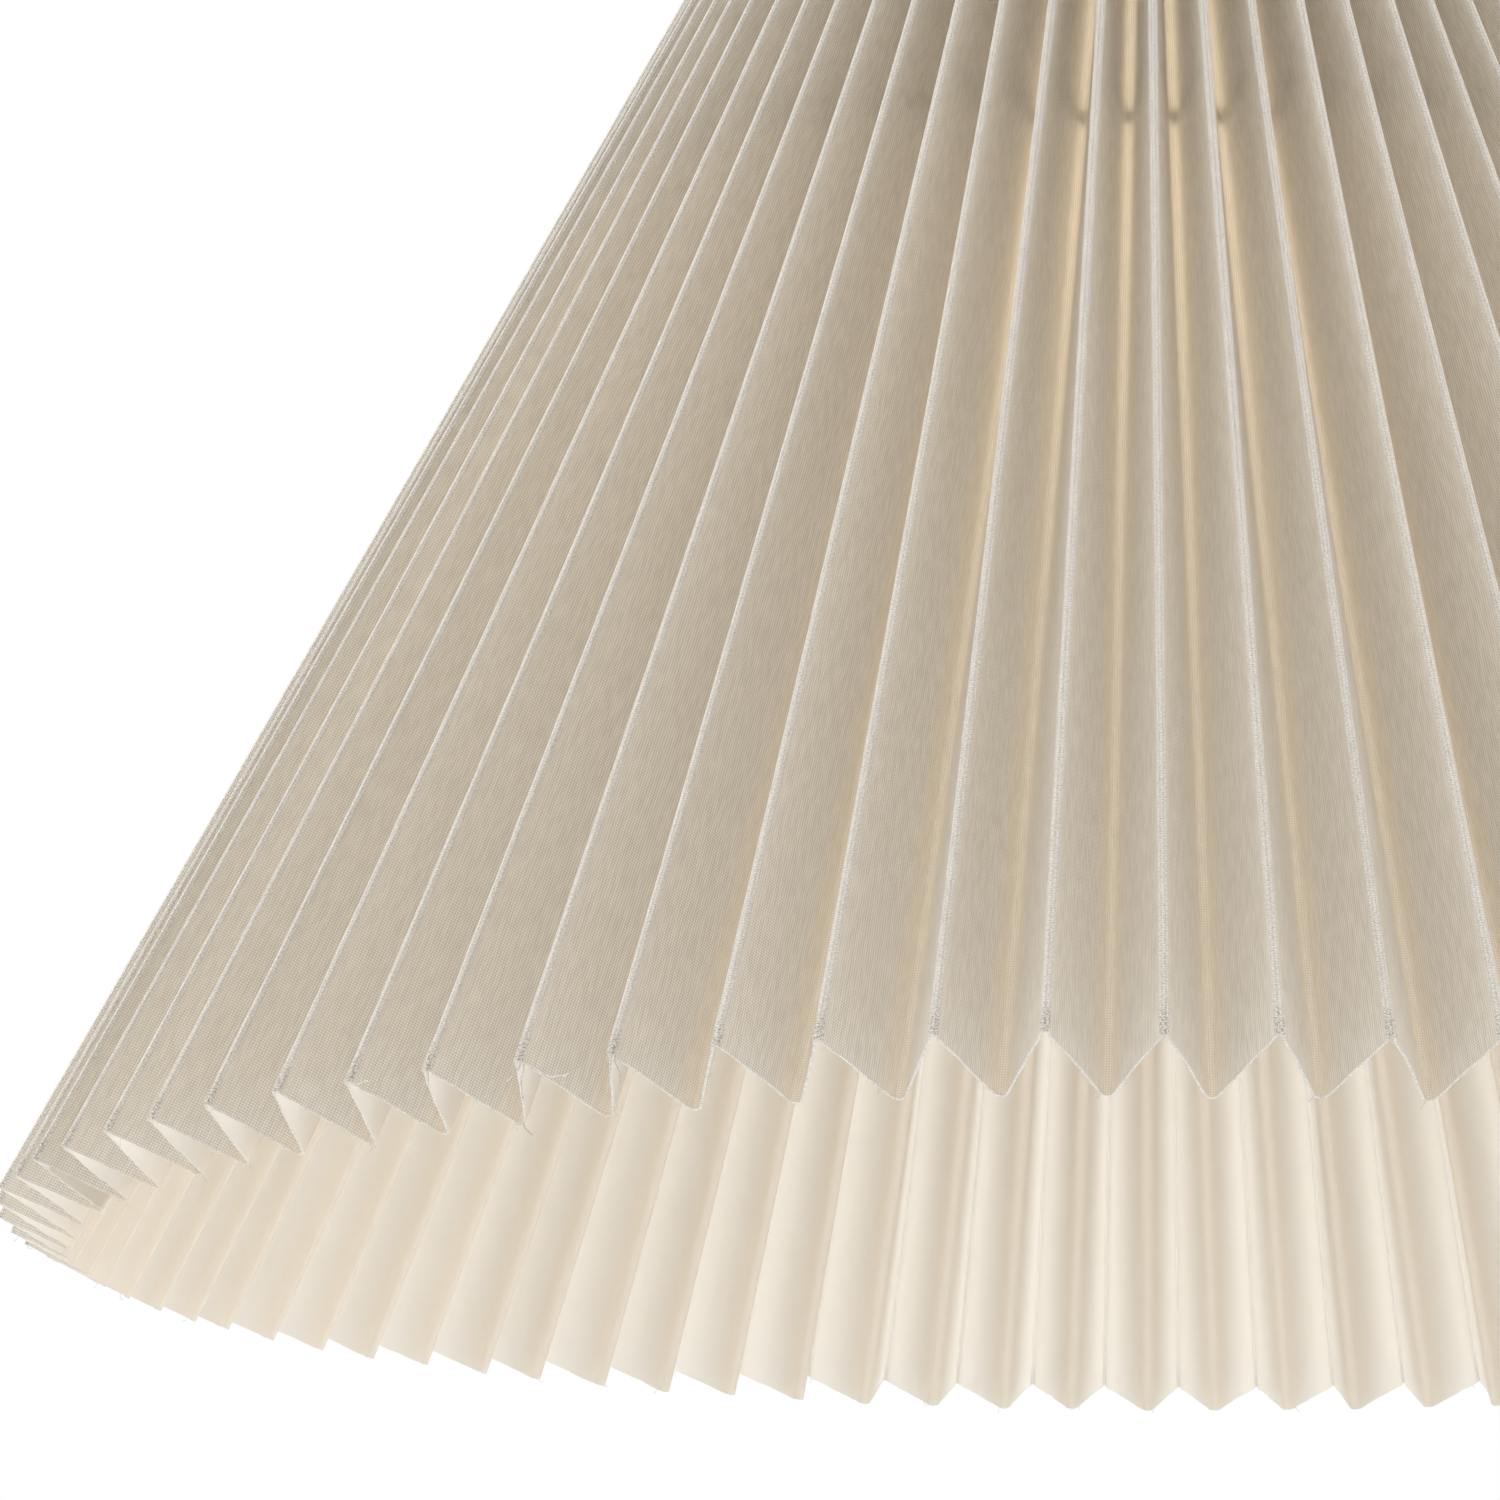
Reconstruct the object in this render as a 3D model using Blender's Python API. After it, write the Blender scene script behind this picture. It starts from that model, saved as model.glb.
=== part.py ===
"""Pleated lamp shade: a conical cover of knife-edged accordion pleats on a wire ring with a spider fitter.

The cover is cloth laminated to a clear plastic lining.  Two flat strips are scored across, folded
like a concertina, glued to each other at two faces and set on a wire ring that lies behind the inner
folds.  Three wire arms tie that ring to a flat fitter ring for the lamp holder.

Units are metres, +Z is up.  The origin is the centre of the lower opening, at the height of the
lowest points of the cover, so the shade stands on a table with its wide end down.
"""
import math

import bmesh
import bpy
from mathutils import Vector

# --- Overall sizes of the cover ------------------------------------------------------------------
RIM_RADIUS = 0.200        # outer folds, lower edge
TOP_RADIUS = 0.0812       # outer folds, upper edge
COVER_HEIGHT = 0.236      # height of one outer fold, lower end to upper end

# --- Pleats --------------------------------------------------------------------------------------
PLEATS = 79
FACE_WIDTH = 0.0170       # flat width of a face, fold to fold
SHEET = 0.0006            # thickness of the laminate
FOLD_FLAT = 0.0012        # width of the blunt tip of a fold
FIRST_FOLD = math.radians(0.41)   # turn of the foremost outer fold from -Y
LENGTHWISE_PARTS = 4      # straight stretches that follow the slight twist of a face

# --- Glued seams: the two strips share one face at each --------------------------------------------
SEAM_FOLD = -15           # inner fold beside the first seam, counted from the foremost outer fold
GLUE_GAP = 0.0004
OUTER_EDGE_TRIM = 0.0028  # the outer strip ends this far short of the inner fold
FLAP_TRIM = 0.0042        # the inner strip's flap ends this far short of the outer fold

# --- Wire frame ----------------------------------------------------------------------------------
TOUCH = 0.0003            # clearance between pieces that touch
RING_HEIGHT = 0.1792      # ring wire's centre above the origin
RING_WIRE = 0.0030        # diameter
ARM_WIRE = 0.0030         # diameter
ARM_COUNT = 3
ARM_TURN = math.radians(90.0)     # first arm's turn from +X
FITTER_DROP = 0.012       # fitter's upper face below the ring wire's centre
FITTER_HOLE = 0.0420      # diameter
FITTER_OUTER = 0.0600     # diameter
FITTER_THICK = 0.0016
FITTER_LIP = 0.0034       # height of the turned-down lip round the hole
ARM_LAP = 0.0040          # length of an arm under the fitter's flange
RING_SIDES = 72
FITTER_SIDES = 48

HALF_PITCH = math.pi / PLEATS
LEAN = math.atan2(RIM_RADIUS - TOP_RADIUS, COVER_HEIGHT)
FOLD_LENGTH = math.hypot(RIM_RADIUS - TOP_RADIUS, COVER_HEIGHT)
FACES_IN_STRIP = PLEATS + 1
FOLDS = 2 * PLEATS

CLOTH = (0.78, 0.75, 0.68, 1.0)
WHITE_ENAMEL = (0.86, 0.86, 0.84, 1.0)


def clear_scene():
    """Start from an empty file."""
    for item in list(bpy.data.objects):
        bpy.data.objects.remove(item, do_unlink=True)


def material(name, colour, roughness, metallic):
    """A plain Principled material."""
    made = bpy.data.materials.new(name)
    made.use_nodes = True
    shader = made.node_tree.nodes["Principled BSDF"]
    shader.inputs["Base Color"].default_value = colour
    shader.inputs["Roughness"].default_value = roughness
    shader.inputs["Metallic"].default_value = metallic
    return made


def add_object(name, mesh, finish):
    """Put a mesh in the scene as a named piece with its own material."""
    mesh.materials.append(finish)
    piece = bpy.data.objects.new(name, mesh)
    bpy.context.scene.collection.objects.link(piece)
    return piece


def mesh_from(bm, name):
    """Turn a bmesh into a mesh with its faces pointing out."""
    bmesh.ops.recalc_face_normals(bm, faces=bm.faces)
    mesh = bpy.data.meshes.new(name)
    bm.to_mesh(mesh)
    bm.free()
    return mesh


# --- Cover ---------------------------------------------------------------------------------------

def outer_fold(along):
    """Radius and height of an outer fold's middle, `along` metres up the fold."""
    radius = RIM_RADIUS - SHEET / 2 - along * math.sin(LEAN)
    return radius, along * math.cos(LEAN)


def pleat_depth(along):
    """How far an inner fold lies behind the outer ones, square to the fold."""
    radius = outer_fold(along)[0]
    depth = FACE_WIDTH
    for _ in range(8):
        inner = radius - depth * math.cos(LEAN)
        across = 2 * math.sqrt(radius * inner) * math.sin(HALF_PITCH / 2)
        depth = math.sqrt(FACE_WIDTH ** 2 - across ** 2)
    return depth


def inner_fold(along):
    """Radius and height of an inner fold's middle, `along` metres up the fold."""
    radius, height = outer_fold(along)
    depth = pleat_depth(along)
    return radius - depth * math.cos(LEAN), height - depth * math.sin(LEAN)


# Brings the lowest points, the lining side of the inner folds, to the height of the origin.
COVER_LIFT = SHEET / 2 * math.sin(LEAN) - inner_fold(0.0)[1]


def fold_turn(index):
    """Turn of a fold from -Y; even folds are inner ones, counted from beside the first seam."""
    return FIRST_FOLD + (2 * SEAM_FOLD + 1 + index) * HALF_PITCH


def fold_point(index, along, side=0.0):
    """A point on a fold's blunt tip; side -1 and 1 are its two edges."""
    radius, height = inner_fold(along) if index % 2 == 0 else outer_fold(along)
    turn = fold_turn(index) + side * FOLD_FLAT / 2 / radius
    return Vector((radius * math.sin(turn), -radius * math.cos(turn), height + COVER_LIFT))


def face_inward(index, along):
    """Unit normal of the face after fold `index`, pointing to the inside of the shade."""
    start = fold_point(index, along, 1.0)
    across = fold_point(index + 1, along, -1.0) - start
    up = fold_point(index, along + FOLD_LENGTH / 50, 1.0) - start
    normal = across.cross(up).normalized()
    return -normal if normal.dot(Vector((start.x, start.y, 0.0))) > 0 else normal


def strip_columns(first, flaps_inside):
    """Columns of a strip as functions of the way along the fold, from one end edge to the other."""
    last = first + FACES_IN_STRIP
    columns = []

    def place(index, side):
        columns.append(lambda along: fold_point(index, along, side))

    def place_shifted(face, share, trim, shift):
        """A column on the face after fold `face`, `trim` metres from its end number `share`."""
        def column(along):
            ends = (fold_point(face, along, 1.0), fold_point(face + 1, along, -1.0))
            inward = (ends[1 - share] - ends[share]).normalized()
            return ends[share] + inward * trim + face_inward(face, along) * shift
        columns.append(column)

    shift = SHEET + GLUE_GAP if flaps_inside else 0.0
    trim = FLAP_TRIM if flaps_inside else OUTER_EDGE_TRIM
    place_shifted(first, 0, trim, shift)
    if flaps_inside:
        place_shifted(first, 1, 0.0, shift)
        place(first + 1, 1.0)
    else:
        place(first + 1, -1.0)
        place(first + 1, 1.0)
    for index in range(first + 2, last - 1):
        place(index, -1.0)
        place(index, 1.0)
    place(last - 1, -1.0)
    if flaps_inside:
        place_shifted(last - 1, 0, 0.0, shift)
    else:
        place(last - 1, 1.0)
    place_shifted(last - 1, 1, trim, shift)
    return columns


def make_strip(name, first, flaps_inside, finish):
    """One pleated strip: a folded sheet, thickened evenly about its middle."""
    bm = bmesh.new()
    heights = [FOLD_LENGTH * step / LENGTHWISE_PARTS for step in range(LENGTHWISE_PARTS + 1)]
    rows = []
    for column in strip_columns(first, flaps_inside):
        rows.append([bm.verts.new(column(along)) for along in heights])
    for left, right in zip(rows, rows[1:]):
        for step in range(LENGTHWISE_PARTS):
            bm.faces.new((left[step], right[step], right[step + 1], left[step + 1]))
    bmesh.ops.triangulate(bm, faces=bm.faces, quad_method="FIXED")
    mesh = bpy.data.meshes.new(name)
    bm.to_mesh(mesh)
    bm.free()
    strip = add_object(name, mesh, finish)
    thicken = strip.modifiers.new("laminate", "SOLIDIFY")
    thicken.thickness = SHEET
    thicken.offset = 0.0
    thicken.use_even_offset = True
    return strip


# --- Wire frame ----------------------------------------------------------------------------------

def along_for_inner_height(height):
    """Way up an inner fold at which it reaches a height above the origin."""
    low, high = 0.0, FOLD_LENGTH
    for _ in range(40):
        middle = (low + high) / 2
        if inner_fold(middle)[1] + COVER_LIFT < height:
            low = middle
        else:
            high = middle
    return low


def ring_radius():
    """Radius of the ring wire's centre: it lies against the inner folds from inside."""
    fold_radius = inner_fold(along_for_inner_height(RING_HEIGHT))[0]
    return fold_radius - (SHEET / 2 + TOUCH + RING_WIRE / 2) / math.cos(LEAN)


def turned(name, profile, sides, finish):
    """A ring spun about Z from a closed outline of (radius, height) points."""
    bm = bmesh.new()
    corners = [bm.verts.new((radius, 0.0, height)) for radius, height in profile]
    edges = [bm.edges.new(pair) for pair in zip(corners, corners[1:] + corners[:1])]
    bmesh.ops.spin(bm, geom=corners + edges, cent=(0, 0, 0), axis=(0, 0, 1),
                   angle=2 * math.pi, steps=sides, use_merge=True)
    bmesh.ops.remove_doubles(bm, verts=bm.verts, dist=1e-6)
    mesh = mesh_from(bm, name)
    mesh.shade_smooth()
    mesh.set_sharp_from_angle(angle=math.radians(50))
    return add_object(name, mesh, finish)


def make_carrier_ring(finish):
    """The wire ring behind the inner folds."""
    centre = ring_radius()
    outline = []
    for step in range(8):
        angle = 2 * math.pi * (step + 0.5) / 8
        outline.append((centre + RING_WIRE / 2 * math.cos(angle),
                        RING_HEIGHT + RING_WIRE / 2 * math.sin(angle)))
    return turned("carrier_ring", outline, RING_SIDES, finish)


def make_fitter(finish):
    """The flat ring that the lamp holder clamps, with a lip turned down round its hole."""
    hole = FITTER_HOLE / 2
    edge = FITTER_OUTER / 2
    top = RING_HEIGHT - FITTER_DROP
    under = top - FITTER_THICK
    lip = top - FITTER_LIP
    outline = [(hole, lip), (hole + FITTER_THICK, lip), (hole + FITTER_THICK, under),
               (edge, under), (edge, top), (hole, top)]
    return turned("fitter_ring", outline, FITTER_SIDES, finish)


def arm_path():
    """Points of an arm's wire from the ring's inner side to its lap under the fitter's flange."""
    outer_end = ring_radius() - RING_WIRE / 2 - TOUCH
    inner_end = FITTER_OUTER / 2 - ARM_LAP
    low = RING_HEIGHT - FITTER_DROP - FITTER_THICK - TOUCH - ARM_WIRE / 2
    bend_start = FITTER_OUTER / 2 + 0.15 * (outer_end - FITTER_OUTER / 2)
    bend_end = FITTER_OUTER / 2 + 0.75 * (outer_end - FITTER_OUTER / 2)
    points = [Vector((inner_end, 0.0, low))]
    steps = 8
    for step in range(steps + 1):
        share = step / steps
        rise = (1 - math.cos(math.pi * share)) / 2
        radius = bend_start + (bend_end - bend_start) * share
        points.append(Vector((radius, 0.0, low + (RING_HEIGHT - low) * rise)))
    points.append(Vector((outer_end, 0.0, RING_HEIGHT)))
    return points


def make_arm(number, finish):
    """One spider arm: a curve with a round bevel and filled ends."""
    name = f"spider_arm_{number}"
    curve = bpy.data.curves.new(name, "CURVE")
    curve.dimensions = "3D"
    curve.bevel_depth = ARM_WIRE / 2
    curve.bevel_resolution = 2
    curve.use_fill_caps = True
    spline = curve.splines.new("POLY")
    points = arm_path()
    spline.points.add(len(points) - 1)
    for target, point in zip(spline.points, points):
        target.co = (*point, 1.0)
    curve.materials.append(finish)
    arm = bpy.data.objects.new(name, curve)
    arm.rotation_euler.z = ARM_TURN + (number - 1) * 2 * math.pi / ARM_COUNT
    bpy.context.scene.collection.objects.link(arm)
    return arm


def main():
    """Build every piece of the shade."""
    clear_scene()
    cloth = material("laminated_cloth", CLOTH, 0.8, 0.0)
    enamel = material("white_enamel", WHITE_ENAMEL, 0.35, 0.0)
    make_strip("pleated_strip_front", 0, False, cloth)
    make_strip("pleated_strip_back", FACES_IN_STRIP - 1, True, cloth)
    make_carrier_ring(enamel)
    for number in range(1, ARM_COUNT + 1):
        make_arm(number, enamel)
    make_fitter(enamel)


main()
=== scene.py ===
# %% [markdown]
# # A pleated lamp shade
# This script dresses the packed model of a conical shade in its real finish.  The cover is one long
# strip of lined cloth, folded like a concertina, so the lesson is mostly about folding a flat sheet
# with a rule and then giving each of its sides its own material.
# The packed model is loaded first, because the sizes that the dressing keeps to are read from it.

# %% Load the packed model
import functools
import math
import random

import bmesh
import bpy
from mathutils import Matrix, Vector


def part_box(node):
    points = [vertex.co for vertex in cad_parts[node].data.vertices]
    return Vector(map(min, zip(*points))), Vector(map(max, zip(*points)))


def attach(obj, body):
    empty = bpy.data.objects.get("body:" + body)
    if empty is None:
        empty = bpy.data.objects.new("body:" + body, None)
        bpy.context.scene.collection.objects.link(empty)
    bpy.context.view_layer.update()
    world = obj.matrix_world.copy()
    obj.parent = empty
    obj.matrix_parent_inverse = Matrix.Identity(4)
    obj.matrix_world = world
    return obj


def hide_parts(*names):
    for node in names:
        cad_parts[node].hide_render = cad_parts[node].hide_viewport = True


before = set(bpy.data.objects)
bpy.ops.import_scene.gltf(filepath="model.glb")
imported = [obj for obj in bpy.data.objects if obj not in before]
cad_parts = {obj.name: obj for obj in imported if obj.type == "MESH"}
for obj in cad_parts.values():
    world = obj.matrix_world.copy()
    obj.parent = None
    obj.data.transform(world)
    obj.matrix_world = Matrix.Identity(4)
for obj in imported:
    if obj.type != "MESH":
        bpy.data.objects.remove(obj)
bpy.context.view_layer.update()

print("packed nodes:", sorted(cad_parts))

# %% [markdown]
# ## The camera
# The shade hangs above eye level, and a long lens looks up under its rim, aimed a little to the
# left.  Its place is written in rim radii, so that it would follow a shade of another size.
# The body of the camera is turned by three small angles: to the side, up, and round its own axis.
# A camera could also be aimed by a Track To constraint, but that leaves no room for a roll.

# %% Sizes read from the packed cover
TOP_SLACK = 0.0010        # points this near the highest one belong to the upper edge
RIM_SLACK = 0.0004        # points this near the widest one belong to the rim


def from_axis(point):
    """Distance of a point from the shade's axis."""
    return math.hypot(point.x, point.y)


cover_points = [v.co.copy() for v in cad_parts["pleated_strip_front"].data.vertices]
RIM_RADIUS = max(from_axis(p) for p in cover_points)
TOP_HEIGHT = max(p.z for p in cover_points)
TOP_RADIUS = max(from_axis(p) for p in cover_points if p.z > TOP_HEIGHT - TOP_SLACK)
RIM_HEIGHT = min(p.z for p in cover_points if from_axis(p) > RIM_RADIUS - RIM_SLACK)
LEAN = math.atan2(RIM_RADIUS - TOP_RADIUS, TOP_HEIGHT - RIM_HEIGHT)
FOLD_LENGTH = math.hypot(RIM_RADIUS - TOP_RADIUS, TOP_HEIGHT - RIM_HEIGHT)
print(f"rim radius {RIM_RADIUS:.4f} m, fold {FOLD_LENGTH:.4f} m, "
      f"lean {math.degrees(LEAN):.1f} degrees")

# %% Camera
BACK_OFF = 4.508          # distance in front of the axis, in rim radii
BELOW_RIM = 0.6705        # below the outer folds' lower ends, in rim radii
SIDE_TURN = -0.0792       # radians
UPWARD = 0.2425           # radians above level
ROLL = 0.0162             # radians round its own line of sight
SENSOR = 36.0             # millimetres
LENS = 124.3              # millimetres

camera_data = bpy.data.cameras.new("camera")
camera_data.sensor_width = SENSOR
camera_data.lens = LENS
camera = bpy.data.objects.new("camera", camera_data)
bpy.context.scene.collection.objects.link(camera)
forward = Vector((math.sin(SIDE_TURN) * math.cos(UPWARD),
                  math.cos(SIDE_TURN) * math.cos(UPWARD), math.sin(UPWARD)))
level = Vector((math.cos(SIDE_TURN), -math.sin(SIDE_TURN), 0.0))
above = level.cross(forward)
right = level * math.cos(ROLL) + above * math.sin(ROLL)
up = above * math.cos(ROLL) - level * math.sin(ROLL)
camera.matrix_world = Matrix((
    (right.x, up.x, -forward.x, 0.0),
    (right.y, up.y, -forward.y, -BACK_OFF * RIM_RADIUS),
    (right.z, up.z, -forward.z, RIM_HEIGHT - BELOW_RIM * RIM_RADIUS),
    (0.0, 0.0, 0.0, 1.0),
))
bpy.context.scene.camera = camera
print("camera at", [round(value, 3) for value in camera.matrix_world.translation])

# %% [markdown]
# ## Shader maths as sums
# A weave is a sum of waves, which is awkward to wire by hand.  The class below wraps a socket, so
# that `1 - wave * 0.5` adds the Math nodes for it.  Every other node comes from its one `node`
# method, which sets the node's options first and then links or fills its inputs.

# %% A small language for node trees
class Value:
    """A socket that can be added and multiplied, which adds Math nodes to its tree."""

    def __init__(self, tree, socket):
        self.tree = tree
        self.socket = socket

    def math(self, operation, *others):
        """A Math node whose first input is this value."""
        return self.tree.node("ShaderNodeMath", {"operation": operation},
                              dict(enumerate((self, *others))))

    def __add__(self, other):
        return self.math("ADD", other)

    def __radd__(self, other):
        return self.math("ADD", other)

    def __sub__(self, other):
        return self.math("SUBTRACT", other)

    def __rsub__(self, other):
        return self.math("MULTIPLY_ADD", -1.0, other)

    def __mul__(self, other):
        return self.math("MULTIPLY", other)

    def __rmul__(self, other):
        return self.math("MULTIPLY", other)

    def sine(self):
        return self.math("SINE")

    def absolute(self):
        return self.math("ABSOLUTE")

    def pingpong(self, scale):
        """Runs from 0 up to scale, back to 0, and so on."""
        return self.math("PINGPONG", scale)

    def ramp(self, low, high):
        """0 at low and 1 at high, eased and held outside."""
        return self.tree.node("ShaderNodeMapRange", {"interpolation_type": "SMOOTHSTEP"},
                              {"Value": self, "From Min": low, "From Max": high})


class Tree:
    """A material's or a world's nodes."""

    def __init__(self, owner):
        owner.use_nodes = True
        self.nodes = owner.node_tree.nodes
        self.links = owner.node_tree.links
        self.nodes.clear()

    def node(self, kind, settings=None, inputs=None, output=0):
        """Add a node, set its options, then its inputs, and return one of its outputs."""
        made = self.nodes.new(kind)
        for name, value in (settings or {}).items():
            setattr(made, name, value)
        for name, value in (inputs or {}).items():
            if isinstance(value, Value):
                self.links.new(value.socket, made.inputs[name])
            else:
                made.inputs[name].default_value = value
        return Value(self, made.outputs[output]) if len(made.outputs) else None

    def noise(self, where, scale, detail=2.0, roughness=0.5):
        """Cloudy noise from 0 to 1."""
        return self.node("ShaderNodeTexNoise", {}, {
            "Vector": where, "Scale": scale, "Detail": detail, "Roughness": roughness})

    def mix(self, share, first, second):
        """A colour between two colours; inputs 6 and 7 are the node's colour sockets."""
        return self.node("ShaderNodeMix", {"data_type": "RGBA"},
                         {0: share, 6: first, 7: second}, output=2)

    def part(self, vector, axis):
        """One coordinate of a vector."""
        return self.node("ShaderNodeSeparateXYZ", {}, {0: vector}, output="XYZ".index(axis))

    def bump(self, height, distance, strength=1.0):
        """A normal tilted by a height in metres times distance."""
        return self.node("ShaderNodeBump", {},
                         {"Height": height, "Distance": distance, "Strength": strength})

    def blend(self, share, first, second):
        """A share of the second shader mixed into the first."""
        return self.node("ShaderNodeMixShader", {}, {0: share, 1: first, 2: second})

    def translucent(self, colour):
        """Light that comes through from the other side."""
        return self.node("ShaderNodeBsdfTranslucent", {}, {"Color": colour})

    def output(self, kind, shader):
        """The last node, which takes the finished shader."""
        self.node(kind, {}, {"Surface": shader})


def rgb(red, green, blue):
    """A colour socket's four numbers."""
    return (red, green, blue, 1.0)


print("node helpers:", [name for name in vars(Tree) if not name.startswith("_")])

# %% [markdown]
# ## The cloth's three finishes
# The strip is a plain-weave cotton outside, a thin clear-to-ivory plastic film inside, and where it
# was cut both show as a white, slightly furry edge.  All three let light through, and that is what
# makes the folds glow: an inner fold is a single layer between the bright hollow and the eye.
# A Translucent shader mixed with the surface's own shader gives that glow without any thickness.
# The weave follows the flat strip's own map, which is in metres, so threads run along the folds.
# Two crossed sine waves make the threads: where both are strong one thread crosses another, and
# where either is near nothing there is the groove between two threads, painted darker as shade.

# %% The weave's pattern
THREAD_PITCH = 0.00045    # metres from thread to thread
FACE_WIDTH = 0.0170       # flat width of one face of a pleat
UV_NAME = "flat_strip"


def stretched(tree, flat, share):
    """The flat map with its pattern drawn out along the folds."""
    return tree.node("ShaderNodeMapping", {}, {"Vector": flat, "Scale": (1.0, share, 1.0)})


def weave(tree, flat):
    """How much thread there is at a point, from 0 in a gap to 1 on a crown, and its relief."""
    drift = (tree.noise(flat, 70.0, 1.0) - 0.5) * 1.2
    warp = (tree.part(flat, "X") * (math.pi / THREAD_PITCH) + drift).sine()
    weft = (tree.part(flat, "Y") * (math.pi / THREAD_PITCH) + drift * 1.3).sine()
    over_under = warp * weft
    crown = over_under.absolute()
    slubs = tree.noise(stretched(tree, flat, 0.14), 1600.0, 1.0)
    thread = crown.ramp(0.05, 0.70) * 0.78 + slubs.ramp(0.3, 0.7) * 0.22
    return thread, crown * 0.6 + over_under * 0.25 + slubs * 0.4


print(f"{0.01 / THREAD_PITCH:.0f} threads to the centimetre")

# %% Finish of the woven outside
def woven_side():
    """Off-white weave; painted highlights at the outer folds, painted warm light in the valleys."""
    finish = bpy.data.materials.new("woven_outside")
    tree = Tree(finish)
    flat = tree.node("ShaderNodeUVMap", {"uv_map": UV_NAME})
    to_outer = (tree.part(flat, "X") + FACE_WIDTH).pingpong(FACE_WIDTH)
    to_inner = FACE_WIDTH - to_outer
    thread, relief = weave(tree, flat)
    fuzz = tree.noise(flat, 3400.0, 1.0)

    # The weave is the cloth's own; the dark grooves between its threads are painted shade.
    base = tree.mix(thread, rgb(0.42, 0.40, 0.36), rgb(0.97, 0.965, 0.94))
    # Painted warm light: deep in each valley the cloth is painted warmer, for light bounced between
    # faces.
    painted_valley_light = 1 - to_inner.ramp(0.0008, 0.0062)
    base = tree.mix(painted_valley_light * 0.45, base, rgb(0.93, 0.85, 0.70))
    # Painted highlight: within a few millimetres of each outer fold the faces are painted paler.
    painted_ridge_highlight = 1 - to_outer.ramp(0.0006, 0.0030)
    base = tree.mix(painted_ridge_highlight * 0.50, base, rgb(0.96, 0.96, 0.95))
    crest = 1 - to_outer.ramp(0.0007, 0.0013)
    # Painted highlight: the crest of each outer fold is painted near white, where side light
    # catches it.
    crest_highlight = tree.mix(thread, rgb(0.74, 0.73, 0.71), rgb(1.0, 0.99, 0.965))
    base = tree.mix(crest * 0.9, base, crest_highlight)
    lowest = 1 - tree.part(flat, "Y").ramp(0.0015, 0.0060)
    specks = crest * fuzz.ramp(0.46, 0.62) * (0.30 + lowest * 0.55)
    base = tree.mix(specks, base, rgb(0.30, 0.26, 0.22))
    normal = tree.bump(relief, 0.00020, 1.0)

    threads = tree.node("ShaderNodeBsdfPrincipled", {}, {
        "Base Color": base, "Roughness": 0.9, "Normal": normal, "Specular IOR Level": 0.15})
    pale = tree.translucent(rgb(0.965, 0.91, 0.825))
    peach = tree.translucent(rgb(0.97, 0.83, 0.64))
    dull = tree.translucent(rgb(0.50, 0.455, 0.385))
    # The valleys also let through a warmer, peach light, which is painted warm light too.
    lit_through = tree.blend(painted_valley_light * 0.6, pale, peach)
    # Duller light comes through the grooves, which is painted shade, and through the specks.
    dimmed = (1 - thread) * 0.40 + specks * 0.5
    lit_through = tree.blend(dimmed, lit_through, dull)
    share = 0.62 - crest * 0.32
    tree.output("ShaderNodeOutputMaterial", tree.blend(share, threads, lit_through))
    return finish

# %% [markdown]
# The lining is smooth, so it needs no weave, only streaks where the film was drawn over the folds.
# The cut edge is the narrow rim that thickening the sheet makes, and it gets a finish of its own,
# because there the ends of the threads show, which are rougher and a little duller than the faces.

# %% Finish of the lining and the cut edges
def film_side():
    """Smooth pale film, streaked where it was stretched over the folds; painted shade at inner
    folds.
    """
    finish = bpy.data.materials.new("film_inside")
    tree = Tree(finish)
    flat = tree.node("ShaderNodeUVMap", {"uv_map": UV_NAME})
    to_inner = tree.part(flat, "X").pingpong(FACE_WIDTH)
    streak = tree.noise(stretched(tree, flat, 0.04), 380.0, 1.0)
    base = tree.mix(streak.ramp(0.35, 0.7), rgb(0.90, 0.895, 0.885), rgb(0.945, 0.945, 0.94))
    # Painted shade: the film is painted greyer along each inner fold and lets less light through
    # there.
    painted_fold_shade = 1 - to_inner.ramp(0.0004, 0.0018)
    base = tree.mix(painted_fold_shade * 0.8, base, rgb(0.78, 0.77, 0.745))
    film = tree.node("ShaderNodeBsdfPrincipled", {}, {
        "Base Color": base, "Roughness": 0.5, "Normal": tree.bump(streak, 0.00005, 0.6),
        "Specular IOR Level": 0.15})
    clear = tree.translucent(rgb(0.98, 0.972, 0.955))
    fold_shade_through = tree.translucent(rgb(0.885, 0.87, 0.84))
    lit_through = tree.blend(painted_fold_shade * 0.8, clear, fold_shade_through)
    tree.output("ShaderNodeOutputMaterial", tree.blend(0.85, film, lit_through))
    return finish


def cut_side():
    """Pale fibres of the cut threads."""
    finish = bpy.data.materials.new("cut_edge")
    tree = Tree(finish)
    fibres = tree.noise(tree.node("ShaderNodeTexCoord", output=3), 3800.0, 1.0)
    base = tree.mix(fibres.ramp(0.3, 0.7), rgb(0.56, 0.54, 0.49), rgb(0.90, 0.885, 0.85))
    threads = tree.node("ShaderNodeBsdfPrincipled", {}, {
        "Base Color": base, "Roughness": 0.95, "Normal": tree.bump(fibres, 0.00012),
        "Specular IOR Level": 0.1})
    lit_through = tree.translucent(rgb(0.97, 0.95, 0.92))
    tree.output("ShaderNodeOutputMaterial", tree.blend(0.30, threads, lit_through))
    return finish


CLOTH_FINISHES = [woven_side(), film_side(), cut_side()]
print("cloth finishes:", [finish.name for finish in CLOTH_FINISHES])

# %% [markdown]
# ## Folding a flat strip
# A pleat machine scores the flat strip every 17 mm and folds it back and forth.  Because the strip
# is straight and cut square, the faces keep one width all the way up, and the cone comes only from
# how far each pleat opens: wide at the rim, nearly shut at the top.  So the depth of the pleats is
# not chosen.  It is worked out, at every height, from the face's width and the room between folds.
# Each fold is a small round bend, and a face is the straight line that touches two bends.
# Real pleats are never quite even, so each fold stands a little to one side, a little in or out,
# and each face bulges its own way.  A seeded chance gives the same shade at every run.

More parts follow.
